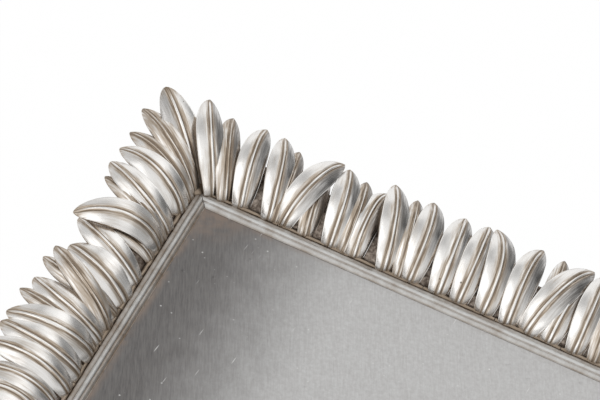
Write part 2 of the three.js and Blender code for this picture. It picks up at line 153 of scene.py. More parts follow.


# Satin silver, brushed: a soft, slightly blurred grey with short brush marks, with painted shade
# that darkens it toward the short ends in place of the darker reflection there. Brown tarnish is
# left where the polisher doesn't reach, along the foot of the moulding and in the corners; along
# the foot it is weighted by the painted shade's mask, so it is stronger toward the ends.
satin_silver, tree = new_material("satin_silver_plate")
coordinates = add(tree, "ShaderNodeTexCoord").outputs["Object"]
brush_map = add(tree, "ShaderNodeMapping", {"Scale": brush_mark, "Rotation": (0, 0, brush_turn)},
                {"Vector": coordinates}, vector_type="TEXTURE")
brushing = add(tree, "ShaderNodeTexNoise", {"Scale": 1, "Detail": 3, "Roughness": 0.65},
               {"Vector": brush_map.outputs[0]})
scratch_map = add(tree, "ShaderNodeMapping", {"Scale": scratch_cell, "Rotation": (0, 0, scratch_turn)},
                  {"Vector": coordinates}, vector_type="TEXTURE")
scratches = add(tree, "ShaderNodeTexVoronoi", {"Scale": 1, "Randomness": 1},
                {"Vector": scratch_map.outputs[0]})
scratch_pick = add(tree, "ShaderNodeSeparateXYZ", links={"Vector": scratches.outputs["Color"]})
scratch_line = add(tree, "ShaderNodeMapRange",
                   {"From Min": 0.06, "From Max": 0.14, "To Min": 1, "To Max": 0},
                   {"Value": scratches.outputs["Distance"]})
scratch_kept = add(tree, "ShaderNodeMapRange", {"From Min": 0.72, "From Max": 0.98, "To Max": 0.6},
                   {"Value": scratch_pick.outputs["X"]})
scratch_marks = add(tree, "ShaderNodeMath", links={0: scratch_line.outputs[0], 1: scratch_kept.outputs[0]},
                    operation="MULTIPLY")
dots = add(tree, "ShaderNodeTexVoronoi", {"Scale": 1 / dot_spacing, "Randomness": 1},
           {"Vector": coordinates})
dot_pick = add(tree, "ShaderNodeSeparateXYZ", links={"Vector": dots.outputs["Color"]})
dot_spot = add(tree, "ShaderNodeMapRange", {"From Min": 0.03, "From Max": 0.1, "To Min": 1, "To Max": 0},
               {"Value": dots.outputs["Distance"]})
dot_kept = add(tree, "ShaderNodeMapRange", {"From Min": 0.2, "From Max": 0.9, "To Max": 0.6},
               {"Value": dot_pick.outputs["Y"]})
dot_marks = add(tree, "ShaderNodeMath", links={0: dot_spot.outputs[0], 1: dot_kept.outputs[0]},
                operation="MULTIPLY")
marks = add(tree, "ShaderNodeMath", links={0: dot_marks.outputs[0], 1: scratch_marks.outputs[0]},
            operation="MAXIMUM")
clouds = add(tree, "ShaderNodeTexNoise", {"Scale": 1 / cloud_size, "Detail": 5, "Roughness": 0.65},
             {"Vector": coordinates})
specks = add(tree, "ShaderNodeTexNoise", {"Scale": 1 / speck_size, "Detail": 3, "Roughness": 0.7},
             {"Vector": coordinates})
place_parts = add(tree, "ShaderNodeSeparateXYZ", links={"Vector": coordinates})
edge_distances = []
for axis, half in (("X", well_half_length), ("Y", well_half_width)):
    size = add(tree, "ShaderNodeMath", links={0: place_parts.outputs[axis]}, operation="ABSOLUTE")
    gap = add(tree, "ShaderNodeMath", {0: half}, {1: size.outputs[0]}, operation="SUBTRACT")
    edge_distances.append(gap.outputs[0])
# Painted shade toward the short ends: a mask from the distance to the end, made uneven by the clouds.
painted_end_shade_gap = add(tree, "ShaderNodeMath", {1: painted_end_shade_wander}, {0: clouds.outputs["Fac"], 2: edge_distances[0]},
              operation="MULTIPLY_ADD")
painted_end_shade = add(tree, "ShaderNodeMapRange",
                {"From Min": painted_end_shade_from, "From Max": painted_end_shade_to, "To Min": 1, "To Max": 0},
                {"Value": painted_end_shade_gap.outputs[0]}, interpolation_type="SMOOTHSTEP")
edge_gap = add(tree, "ShaderNodeMath", {2: foot_tarnish_round},
               {0: edge_distances[0], 1: edge_distances[1]}, operation="SMOOTH_MIN")
edge_shade = add(tree, "ShaderNodeMapRange",
                 {"From Min": foot_tarnish_from, "From Max": foot_tarnish_to, "To Min": 1, "To Max": 0},
                 {"Value": edge_gap.outputs[0]}, interpolation_type="SMOOTHSTEP")
# The foot tarnish also follows the painted end shade's mask, so it is stronger toward the ends.
end_brown = add(tree, "ShaderNodeMath", {1: 0.9, 2: 0.12}, {0: painted_end_shade.outputs[0]},
                operation="MULTIPLY_ADD")
edge_brown = add(tree, "ShaderNodeMath", links={0: edge_shade.outputs[0], 1: end_brown.outputs[0]},
                 operation="MULTIPLY")
corner_gap = add(tree, "ShaderNodeMath", links={0: edge_distances[0], 1: edge_distances[1]},
                 operation="ADD")
corner_brown = add(tree, "ShaderNodeMapRange",
                   {"From Min": corner_tarnish_from, "From Max": corner_tarnish_to,
                    "To Min": 0.85, "To Max": 0},
                   {"Value": corner_gap.outputs[0]}, interpolation_type="SMOOTHSTEP")
brown = add(tree, "ShaderNodeMath", links={0: edge_brown.outputs[0], 1: corner_brown.outputs[0]},
            operation="MAXIMUM")
uneven_shade = add(tree, "ShaderNodeMapRange",
                   {"From Min": 0.38, "From Max": 0.58, "To Min": 0.1, "To Max": 1},
                   {"Value": clouds.outputs["Fac"]})
tarnish_and_shade = add(tree, "ShaderNodeMath", links={0: brown.outputs[0], 1: uneven_shade.outputs[0]},
              operation="MULTIPLY", use_clamp=True)
brushed = add(tree, "ShaderNodeMapRange", {"From Min": 0.35, "From Max": 0.65},
              {"Value": brushing.outputs["Fac"]})
plain_colour = add(tree, "ShaderNodeMix", {6: linear("#b5b4b4"), 7: linear("#bfbfbf")},
                   {"Factor": brushed.outputs[0]}, data_type="RGBA")
# The colour of the painted shade at the short ends, mixed in by that mask.
painted_end_shade_colour = add(tree, "ShaderNodeMix", {6: linear("#626060"), 7: linear("#757372")},
                 {"Factor": brushed.outputs[0]}, data_type="RGBA")
painted_shade = add(tree, "ShaderNodeMix", links={"Factor": painted_end_shade.outputs[0], 6: plain_colour.outputs[2],
                                           7: painted_end_shade_colour.outputs[2]}, data_type="RGBA")
mottle_shade = add(tree, "ShaderNodeMapRange",
                   {"From Min": 0.35, "From Max": 0.68, "To Min": 0, "To Max": 0.2},
                   {"Value": specks.outputs["Fac"]})
mottled = add(tree, "ShaderNodeMix", {7: linear("#75706c")},
              {"Factor": mottle_shade.outputs[0], 6: painted_shade.outputs[2]}, data_type="RGBA")
tarnished = add(tree, "ShaderNodeMix", {7: linear("#887a70")},
                {"Factor": tarnish_and_shade.outputs[0], 6: mottled.outputs[2]}, data_type="RGBA")
scratched = add(tree, "ShaderNodeMix", {7: linear("#e4e4e3")},
                {"Factor": marks.outputs[0], 6: tarnished.outputs[2]}, data_type="RGBA")
satin_roughness = add(tree, "ShaderNodeMapRange", {"From Min": 0.3, "From Max": 0.7,
                                                   "To Min": 0.3, "To Max": 0.4},
                      {"Value": brushing.outputs["Fac"]})
relief = add(tree, "ShaderNodeMath", {1: 0.6}, {0: specks.outputs["Fac"]}, operation="MULTIPLY")
relief_sum = add(tree, "ShaderNodeMath", links={0: relief.outputs[0], 1: brushing.outputs["Fac"]},
                 operation="ADD")
satin_bump = add(tree, "ShaderNodeBump", {"Strength": 0.5, "Distance": satin_relief},
                 {"Height": relief_sum.outputs[0]})
satin_shader = add(tree, "ShaderNodeBsdfPrincipled", {"Metallic": 1},
                   {"Base Color": scratched.outputs[2], "Roughness": satin_roughness.outputs[0],
                    "Normal": satin_bump.outputs[0]})
add(tree, "ShaderNodeOutputMaterial", links={"Surface": satin_shader.outputs[0]})

rng = random.Random(11)
pimples = []
for _ in range(pimple_count):
    centre = Vector((rng.uniform(-pimple_field[0], pimple_field[0]) * well_half_length,
                     rng.uniform(-pimple_field[1], pimple_field[1]) * well_half_width))
    radius = rng.uniform(*pimple_radius)
    height = rng.uniform(*pimple_height) * rng.choice((1, 1, -pit_depth_share))
    pimples.append((centre, radius, height))
plate_reach = Vector((well_half_length + plate_beyond_bead, well_half_width + plate_beyond_bead))
plate_core = plate_reach - Vector((plate_corner, plate_corner))
seen_floor = Vector((well_half_length - plate_under_bead, well_half_width - plate_under_bead))


def plate_top(vert, across, along):
    """A point of the plate's upper face: square to the core, then drawn in to a round corner"""
    x = (2 * across - 1) * plate_reach.x
    y = (2 * along - 1) * plate_reach.y
    past_x, past_y = abs(x) - plate_core.x, abs(y) - plate_core.y
    if past_x > 0 and past_y > 0:
        pull = max(past_x, past_y) / math.hypot(past_x, past_y)
        x = math.copysign(plate_core.x + past_x * pull, x)
        y = math.copysign(plate_core.y + past_y * pull, y)
    rise = 0
    if abs(x) < seen_floor.x and abs(y) < seen_floor.y:
        rise = undulation * (noise.noise(Vector((x / undulation_length, y / undulation_length, 3))) - 1)
    return Vector((x, y, floor_height + rise))


def pimples_near(point):
    """The pimples and pits whose swelling reaches a point"""
    return [pimple for pimple in pimples if abs(pimple[0].x - point.x) < pimple_reach
            and abs(pimple[0].y - point.y) < pimple_reach]


bm = bmesh.new()
formed_grid(bm, round(2 * plate_reach.x / plate_pitch), round(2 * plate_reach.y / plate_pitch),
            plate_top)
close = {face for face in bm.faces if pimples_near(face.calc_center_median())}
close_edges = [edge for edge in bm.edges if not close.isdisjoint(edge.link_faces)]
bmesh.ops.subdivide_edges(bm, edges=close_edges, cuts=pimple_cuts, use_grid_fill=True)
for vert in bm.verts:
    for centre, radius, height in pimples_near(vert.co):
        apart = math.hypot(vert.co.x - centre.x, vert.co.y - centre.y)
        vert.co.z += height * math.exp(-2 * (apart / radius) ** 2)
rim = [edge for edge in bm.edges if edge.is_boundary]
skirt = bmesh.ops.extrude_edge_only(bm, edges=rim)["geom"]
for vert in (v for v in skirt if isinstance(v, bmesh.types.BMVert)):
    vert.co.z = floor_height - plate_thickness
bmesh.ops.holes_fill(bm, edges=[edge for edge in bm.edges if edge.is_boundary])
piece("well_sheet", bm, [satin_silver], "satin_silver", "well_plate")

# Feet. Four low turned feet of the same metal, soldered under the plate and satin-finished like
# it. The photograph doesn't show them, so they are plain ones of the usual kind.
foot_radius = 9 * MM
foot_height = 5 * MM
foot_inset = 34 * MM
foot_facets = 48
foot_sharp = 40
weld = 0.01 * MM
# The foot's outline from its centre out and up, as shares of its radius and height
foot_outline = [(0, 0), (0.5, 0), (0.66, 0), (0.76, 0.05), (0.9, 0.14), (0.98, 0.26), (1, 0.34),
                (0.98, 0.44), (0.93, 0.54), (0.86, 0.62), (0.79, 0.7), (0.73, 0.8), (0.74, 0.9),
                (0.8, 1), (0, 1)]

for end, y_sign in (("back", 1), ("front", -1)):
    for flank, x_sign in (("left", -1), ("right", 1)):
        bm = bmesh.new()
        verts = [bm.verts.new((out * foot_radius, 0, high * foot_height)) for out, high in foot_outline]
        edges = [bm.edges.new(pair) for pair in zip(verts, verts[1:])]
        bmesh.ops.spin(bm, geom=verts + edges, axis=(0, 0, 1), cent=(0, 0, 0), steps=foot_facets,
                       angle=2 * math.pi, use_merge=True)
        bmesh.ops.remove_doubles(bm, verts=bm.verts[:], dist=weld)
        bmesh.ops.translate(bm, verts=bm.verts[:], vec=(x_sign * (well_half_length - foot_inset),
                                                        y_sign * (well_half_width - foot_inset), 0))
        piece(f"turned_foot_{end}_{flank}", bm, [satin_silver], "satin_silver", f"foot_{end}_{flank}",
              sharp=foot_sharp)

# Bead moulding. Four cast lengths of half-round bead with a groove, a fillet and a cove inside
# and a gutter outside, mitred at the corners and soldered to the plate. They are rubbed bright on
# top and brown in their grooves, and slightly wavy as castings are.
bead_radius = 0.95
bead_middle = 1.12
bead_rise = 0.72
bead_steps = 16
bead_foot_share = 0.02
bead_tarnish = 0.5
bead_rubbing = 1.4
gutter_edge = 2.55
# The moulding's outline from the gutter over the bead to the fillet and the cove, in millimetres
# from the bead's middle outward and from the floor up, each point with its share of tarnish
moulding_outline = [(gutter_edge, 0, 1), (gutter_edge, 0.9, 0.7), (2.2, 0.98, 0.4), (1.8, 0.95, 0.35),
                    (1.4, 0.88, 0.4), (1.1, 0.84, 0.6), (0.97, 0.92, 0.45)]
for step in range(1, bead_steps):
    turn = math.pi * (bead_foot_share + (1 - 2 * bead_foot_share) * step / bead_steps)
    bead_dirt = bead_tarnish * max(0, 1 - bead_rubbing * math.sin(turn))
    moulding_outline.append((bead_radius * math.cos(turn), bead_middle + bead_rise * math.sin(turn),
                             bead_dirt))
moulding_outline += [(-0.98, 1.08, 0.3), (-1.08, 1.03, 0.35), (-1.22, 1.02, 0.22), (-1.36, 1.05, 0.08),
                     (-1.58, 1.03, 0.02), (-1.8, 0.93, 0.04), (-2.0, 0.76, 0.06), (-2.2, 0.53, 0.1),
                     (-2.36, 0.34, 0.15), (-2.48, 0.22, 0.5), (-2.56, 0.18, 0.6), (-2.66, 0.17, 0.15),
                     (-2.8, 0.1, 0.3), (-2.8, 0, 1), (-0.5, 0, 1)]
mitre_gap = 0.15
moulding_pitch = 1.6
moulding_wave = 0.09
wave_length_out = 9
wave_length_up = 7
straight_foot = 0.3
fine_weld = 0.001 * MM
bead_patch = 8 * MM
bead_grain_size = 0.9 * MM
bead_relief = 0.05 * MM

# Antiqued silver, rubbed: bright along the crown of the bead, with warm brown tarnish where the
# outline marks a groove and small patches of it on the flats. Its grain is drawn a little coarse.
bead_silver, tree = new_material("rubbed_silver_bead")
coordinates = add(tree, "ShaderNodeTexCoord").outputs["Object"]
# This attribute carries the moulding's tarnish and, on the short sides, painted shade that darkens their
# inner part.
groove = add(tree, "ShaderNodeAttribute", attribute_name="tarnish_and_shade", attribute_type="GEOMETRY")
patches = add(tree, "ShaderNodeTexNoise", {"Scale": 1 / bead_patch, "Detail": 5, "Roughness": 0.7},
              {"Vector": coordinates})
uneven = add(tree, "ShaderNodeMapRange", {"From Min": 0.3, "From Max": 0.7, "To Min": -0.2,
                                          "To Max": 0.4}, {"Value": patches.outputs["Fac"]})
dirt_level = add(tree, "ShaderNodeMath", links={0: groove.outputs["Fac"], 1: uneven.outputs[0]},
                 operation="ADD", use_clamp=True)
dirt_shade = add(tree, "ShaderNodeMapRange", {"From Min": 0, "From Max": 1.0},
                 {"Value": dirt_level.outputs[0]})
bead_colour = add(tree, "ShaderNodeMix", {6: linear("#cbcbca"), 7: linear("#8a7968")},
                  {"Factor": dirt_shade.outputs[0]}, data_type="RGBA")
bead_roughness = add(tree, "ShaderNodeMapRange", {"To Min": 0.52, "To Max": 0.62},
                     {"Value": dirt_shade.outputs[0]})
bead_grain = add(tree, "ShaderNodeTexNoise", {"Scale": 1 / bead_grain_size, "Detail": 3, "Roughness": 0.6},
                 {"Vector": coordinates})
bead_bump = add(tree, "ShaderNodeBump", {"Strength": 0.4, "Distance": bead_relief},
                {"Height": bead_grain.outputs["Fac"]})
bead_shader = add(tree, "ShaderNodeBsdfPrincipled", {"Metallic": 1},
                  {"Base Color": bead_colour.outputs[2], "Roughness": bead_roughness.outputs[0],
                   "Normal": bead_bump.outputs[0]})
add(tree, "ShaderNodeOutputMaterial", links={"Surface": bead_shader.outputs[0]})

# Each side is worked out for the back left quarter and mirrored: which way is outward and along it,
# its half length, and past which place of the moulding's outline how much more it is darkened inside
# and outside. On the long sides the extra is brown tarnish; on the short sides it is painted shade
# that darkens their moulding, like the painted shade on the plate's short ends.
sides = {
    "back": {"outward": Vector((0, 1, 0)), "along": Vector((1, 0, 0)), "run": half_length_mm,
             "inside_from": -0.8, "inside_tarnish_and_shade": 0.08, "outside_painted_shade": 0},
    "left": {"outward": Vector((-1, 0, 0)), "along": Vector((0, -1, 0)), "run": half_width_mm,
             "inside_from": -1, "inside_tarnish_and_shade": 0.4, "outside_painted_shade": 0.08},
}
opposites = (("back", "front", (1, -1)), ("left", "right", (-1, 1)))


def on_side(side, along, out, high):
    """The place on the salver of a point along, out from and above a side's bead, in millimetres"""
    return (Vector((-well_half_length, well_half_width, floor_height))
            + (side["along"] * along + side["outward"] * out + Vector((0, 0, high))) * MM)


def sweep(bm, side, outline, start, end, pitch, mitre=0, wave=0, lumps=0, lump_size=3, seed=0):
    """Carries an outline of (out, high, tarnish) along a side from start to end, closed at both
    ends. Wave and lumps are how far, in millimetres, the casting strays from the outline above
    its foot."""
    # The outline's tarnish share is written as given; on the short sides' moulding it also holds painted
    # shade.
    layer = bm.verts.layers.float.get("tarnish_and_shade") or bm.verts.layers.float.new("tarnish_and_shade")
    count = len(outline)

    def place(vert, across, along):
        out, high, dirt = outline[round(across * count) % count]
        vert[layer] = dirt
        near = start - mitre * out
        far = end + mitre * out
        spot = near + (far - near) * along
        if high > straight_foot:
            out += wave * noise.noise(Vector((spot / wave_length_out, seed, 0)))
            high += wave * noise.noise(Vector((spot / wave_length_up, seed, 5)))
            bump = lumps * noise.noise(Vector((spot / lump_size, out / lump_size,
                                               high / lump_size + seed)))
            out -= bump
            high += bump
        return on_side(side, spot, out, high)

    made = formed_grid(bm, count, round((end - start) / pitch), place)
    bmesh.ops.remove_doubles(bm, verts=made, dist=fine_weld)
    bmesh.ops.holes_fill(bm, edges=[edge for edge in bm.edges if edge.is_boundary])


def mirrored(bm, x_sign, y_sign):
    """A copy of a mesh of the back left quarter, in another quarter"""
    other = bm.copy()
    bmesh.ops.transform(other, matrix=Matrix.Diagonal((x_sign, y_sign, 1, 1)), verts=other.verts[:])
    if x_sign * y_sign < 0:
        bmesh.ops.reverse_faces(other, faces=other.faces[:])
    return other


for name, opposite, signs in opposites:
    side = sides[name]
    bm = bmesh.new()
    outline = []
    # A side's extra darkening is added to the outline's tarnish: tarnish on the long sides, painted shade
    # on the short ones.
    for out, high, dirt in moulding_outline:
        more = side["inside_tarnish_and_shade"] if out < side["inside_from"] else side["outside_painted_shade"]
        outline.append((out, high, min(1, dirt + more)))
    sweep(bm, side, outline, mitre_gap, 2 * side["run"] - mitre_gap, moulding_pitch, mitre=1,
          wave=moulding_wave, seed=2 + side["run"])
    piece(f"bead_{opposite}", mirrored(bm, *signs), [bead_silver], "bead_silver",
          f"bead_moulding_{opposite}")
    piece(f"bead_{name}", bm, [bead_silver], "bead_silver", f"bead_moulding_{name}")

# Border rails. Curved cast backings between the plate and the leaves, one to a side, that carry
# the leaf castings. They are left rough from the sand and dark from the antiquing.

# Lengths in millimetres. The leaves' roots stand on the root line, that far out from the bead's
# middle, and the corner castings run that far along each side from there before a rail starts.
root_line = 3.35
corner_run = 4
casting_gap = 0.3
rail_inner = 4.75
rail_width = 17
rail_height = 6.6
rail_crest_out = 13
rail_lip = 1.8
rail_foot_width = 9
rail_foot_height = 3
rail_fullness = 1.25
rail_steps = 20
rail_pitch = 1.6
rail_lump = 0.35
rail_lump_size = 2.6
rail_grain_size = 1.6 * MM
rail_relief = 0.25 * MM
rail_start = corner_run - root_line + casting_gap
lip_turn = math.acos(1 - rail_width / rail_crest_out)
rail_outline = []
for step in range(rail_steps + 1):
    turn = lip_turn * step / rail_steps
    rail_outline.append((rail_inner + rail_crest_out * (1 - math.cos(turn)),
                         rail_height * math.sin(turn) ** rail_fullness, 1))
lip_out, lip_high, _ = rail_outline[-1]
rail_outline += [(lip_out, lip_high - rail_lip, 1),
                 (rail_inner + rail_crest_out, rail_height - rail_lip, 1),
                 (rail_inner + rail_foot_width, rail_foot_height, 1),
                 (rail_inner + rail_foot_width, 0, 1)]

# Antiqued cast silver: dark brown where the wash stayed, with dull metal on its high grains,
# rough to the eye. The grain is drawn coarser than the sand's, so that it shows.
rail_patina, tree = new_material("antiqued_cast_backing")
coordinates = add(tree, "ShaderNodeTexCoord").outputs["Object"]
grains = add(tree, "ShaderNodeTexNoise", {"Scale": 1 / rail_grain_size, "Detail": 4, "Roughness": 0.65},
             {"Vector": coordinates})
grain_shade = add(tree, "ShaderNodeMapRange", {"From Min": 0.38, "From Max": 0.66},
                  {"Value": grains.outputs["Fac"]})
rail_colour = add(tree, "ShaderNodeMix", {6: linear("#5f534a"), 7: linear("#a79b90")},
                  {"Factor": grain_shade.outputs[0]}, data_type="RGBA")
rail_roughness = add(tree, "ShaderNodeMapRange", {"To Min": 0.7, "To Max": 0.42},
                     {"Value": grain_shade.outputs[0]})
rail_bump = add(tree, "ShaderNodeBump", {"Strength": 0.6, "Distance": rail_relief},
                {"Height": grains.outputs["Fac"]})
rail_shader = add(tree, "ShaderNodeBsdfPrincipled", {"Metallic": 0.7},
                  {"Base Color": rail_colour.outputs[2], "Roughness": rail_roughness.outputs[0],
                   "Normal": rail_bump.outputs[0]})
add(tree, "ShaderNodeOutputMaterial", links={"Surface": rail_shader.outputs[0]})

for name, opposite, signs in opposites:
    side = sides[name]
    bm = bmesh.new()
    sweep(bm, side, rail_outline, rail_start, 2 * side["run"] - rail_start, rail_pitch,
          lumps=rail_lump, lump_size=rail_lump_size, seed=9)
    piece(f"rail_{opposite}", mirrored(bm, *signs), [rail_patina], "patina", f"border_rail_{opposite}")
    piece(f"rail_{name}", bm, [rail_patina], "patina", f"border_rail_{name}")

# Leaf sprays along the sides. Cast in silver, a few leaves on one root bar, soldered side by side
# over the rail and antiqued: brown in the grooves, rubbed nearly white on the lobes. Each leaf has
# a rounded rib between two grooves and two roof-like lobes; it rises steeply, arches and droops.

# Lengths in millimetres and angles in degrees. Where along a leaf a thing starts or how long it
# is, and what a width shrinks to, are shares of that leaf's own length or width.
root_height = 0.45
leaf_length = 39.9
leaf_lap = 0.75
leaf_rise = 72
leaf_droop = -30
leaf_turn_power = 1.35
leaf_roll = 7
roll_spread = 3
root_width = 0.62
widest_at = 0.46
swell_power = 2.1
leaf_rows = 60
leaf_steps = 160
common_width = 10.6
narrow_leaf = 0.89
# Extra tarnish that makes the narrow leaves, which stand behind the others, darker and browner.
narrow_leaf_darkening = 0.3
leaf_weld = 0.004 * MM
rib_half_width = 1.25
rib_taper = 0.4
rib_most = 0.42
rib_at_tip = 0.6
rib_foot = 0.1
rib_stray = 0.05
fullness = (0.92, 1.06)
lobe_crest = 0.9
lobe_edge = 0.97
lobe_at_tip = 0.75
tip_length = 0.22
nose_length = 0.075
nose_start = 0.004
ripple_height = 0.1
ripple_count = 7
edge_waver = 0.03
edge_waves = 6
nose_tarnish = 0.75
tip_tarnish = 0.75
tip_tarnish_from = 0.84
root_tarnish = 0.8
root_tarnish_to = 0.03
# Painted shade on the far lobe: it darkens from this share of the leaf's length over the next one.
lee_from = 0.12
lee_over = 0.35
grain_apart = 40
corner_leaf_width = 13.5
bar_inner = 2.85
bar_outer = 4.45
bar_top = 1.4
bar_shoulder = 0.9
bar_round = 0.25
bar_round_top = bar_top - 0.2
bar_pitch = 0.8
bar_lump = 0.35
bar_lump_size = 1.8

# How the leaves of the long and the short sides differ: how blunt the tip is, how far the lobe on
# the corner's side falls away from its crest, and how much painted shade darkens the lobe on the far side
sides["back"].update(leaves=16, tip_power=0.78, fall=1, lee=0.66)
sides["left"].update(leaves=11, tip_power=0.66, fall=0.45, lee=0.1)

# The leaves of one quarter, one list to a casting: place along the half side, lean and gain of
# lean, all as shares of the half side, length and width as shares of a common leaf, extra rise
castings = {
    "back": [
        [(.05, .135, -.09, 1.03, .88, -3), (.09, .08, -.075, 1.02, 1, -1),
         (.16, .055, .02, 1.03, .95, -1), (.175, .035, 0, .93, .78, -6)],
        [(.19, -.065, -.02, 1.03, 1.05, 1), (.25, .06, -.05, .82, .85, -8),
         (.31, .02, .05, .98, 1, -2), (.345, .01, .045, .92, .78, -6)],
        [(.37, .04, -.085, .88, .95, -4), (.445, .055, .03, 1.05, 1, 0),
         (.48, .045, 0, .97, .75, -6), (.505, -.01, .075, 1.01, 1.05, -1)],
        [(.575, .02, -.005, .98, 1.05, -1), (.625, -.005, .025, 1, 1, -1),
         (.685, -.025, .15, 1.04, 1.05, 0)],
        [(.745, .03, -.07, 1, 1.02, -1), (.79, -.09, -.01, 1.07, 1.1, -2),
         (.81, -.015, .04, .99, .75, -4), (.845, -.015, -.04, .89, 1, -3)],
    ],
    "left": [
        [(.095, .105, .03, .95, 1.08, 0), (.2, .025, .25, 1, 1.04, -5),
         (.245, .07, .15, .93, .7, -9)],
        [(.28, -.02, -.115, .97, 1.25, 4), (.335, 0, 0, .8, .7, -10),
         (.45, .03, .225, .92, 1, -10), (.545, .035, .19, .82, 1.34, -9)],
        [(.61, -.08, .33, .96, .75, -16), (.67, .04, .26, 1.05, .8, 4),
         (.725, -.07, .34, .94, 1.06, -9)],
        [(.765, -.04, .235, .96, .75, -13), (.79, -.125, .19, .93, 1.25, -6),
         (.88, -.115, .29, .93, 1.16, -9)],
    ],
}
middle_rows = {
    "back": [(.905, 0, 0, 1, 1, 0), (.955, .025, 0, 1, .85, -4)],
    "left": [(.96, -.01, .06, .92, 1, -8)],
}
centre_rows = {"back": [(1, 0, 0, 1.04, 1.1, 0)], "left": []}

# Across a leaf, from the middle out: the rounded rib and its groove in shares of the rib's half
# width, the lobe with its thin raised edge in shares of what is left, and the plain back in shares
# of the whole half width, each with its height in millimetres and its share of tarnish
rib_section = [(0, 1.22, 0), (0.12, 1.21, 0), (0.22, 1.17, 0.05), (0.31, 1.1, 0.2), (0.39, 1.0, 0.5),
               (0.48, 0.9, 0.8), (0.6, 0.82, 1), (0.76, 0.79, 1), (0.88, 0.81, 0.85), (1.0, 0.87, 0.65)]
lobe_section = [(0.03, 0.9, 0.6), (0.07, 0.93, 0.5), (0.13, 0.92, 0.38), (0.2, 0.86, 0.25),
                (0.3, 0.74, 0.12), (0.42, 0.56, 0.03), (0.54, 0.36, 0), (0.66, 0.13, 0), (0.77, -0.1, 0),
                (0.86, -0.32, 0), (0.915, -0.47, 0.1), (0.94, -0.5, 0.1), (0.96, -0.48, 0),
                (0.976, -0.52, 0), (0.988, -0.62, 0), (0.996, -0.85, 0.6), (1.0, -1.2, 1)]
back_section = [(0.985, -1.8, 1), (0.7, -1.5, 1), (0.35, -1.1, 1)]
back_middle = -0.95


def leaf_direction(leaf, share):
    """Which way the midrib runs at a share of its length"""
    turned = 1 - (1 - share) ** leaf_turn_power
    rise = math.radians(leaf["rise"] + (leaf["droop"] - leaf["rise"]) * turned)
    lean = leaf["lean"] + leaf["sweep"] * share
    level = leaf["to_corner"] * lean + leaf["outward"] * math.sqrt(1 - lean * lean)
    return level * math.cos(rise) + Vector((0, 0, math.sin(rise)))


def leaf_axes(leaf, share, roll):
    """Toward the corner's side and above, for the leaf's outline at a share of its length"""
    ahead = leaf_direction(leaf, share)
    side = ahead.cross(Vector((0, 0, 1))).normalized()
    if side.dot(leaf["to_corner"]) < 0:
        side = -side
    above = ahead.cross(side)
    if above.z < 0 or (ahead.z > 0.9 and above.dot(leaf["outward"]) > 0):
        above = -above
    return (side * math.cos(roll) + above * math.sin(roll),
            above * math.cos(roll) - side * math.sin(roll))


def leaf_swell(share, tip_power):
    """The leaf's width as a share of its widest: it grows from the root and closes at the tip"""
    if share < widest_at:
        return root_width + (1 - root_width) * math.sin(math.pi / 2 * share / widest_at)
    past = (share - widest_at) / (1 - widest_at)
    return max(0, 1 - past ** swell_power) ** tip_power


def rising(value, start, length):
    """How far a value is past a start, as a share of a length, from 0 to 1"""
    return min(1, max(0, (value - start) / length))


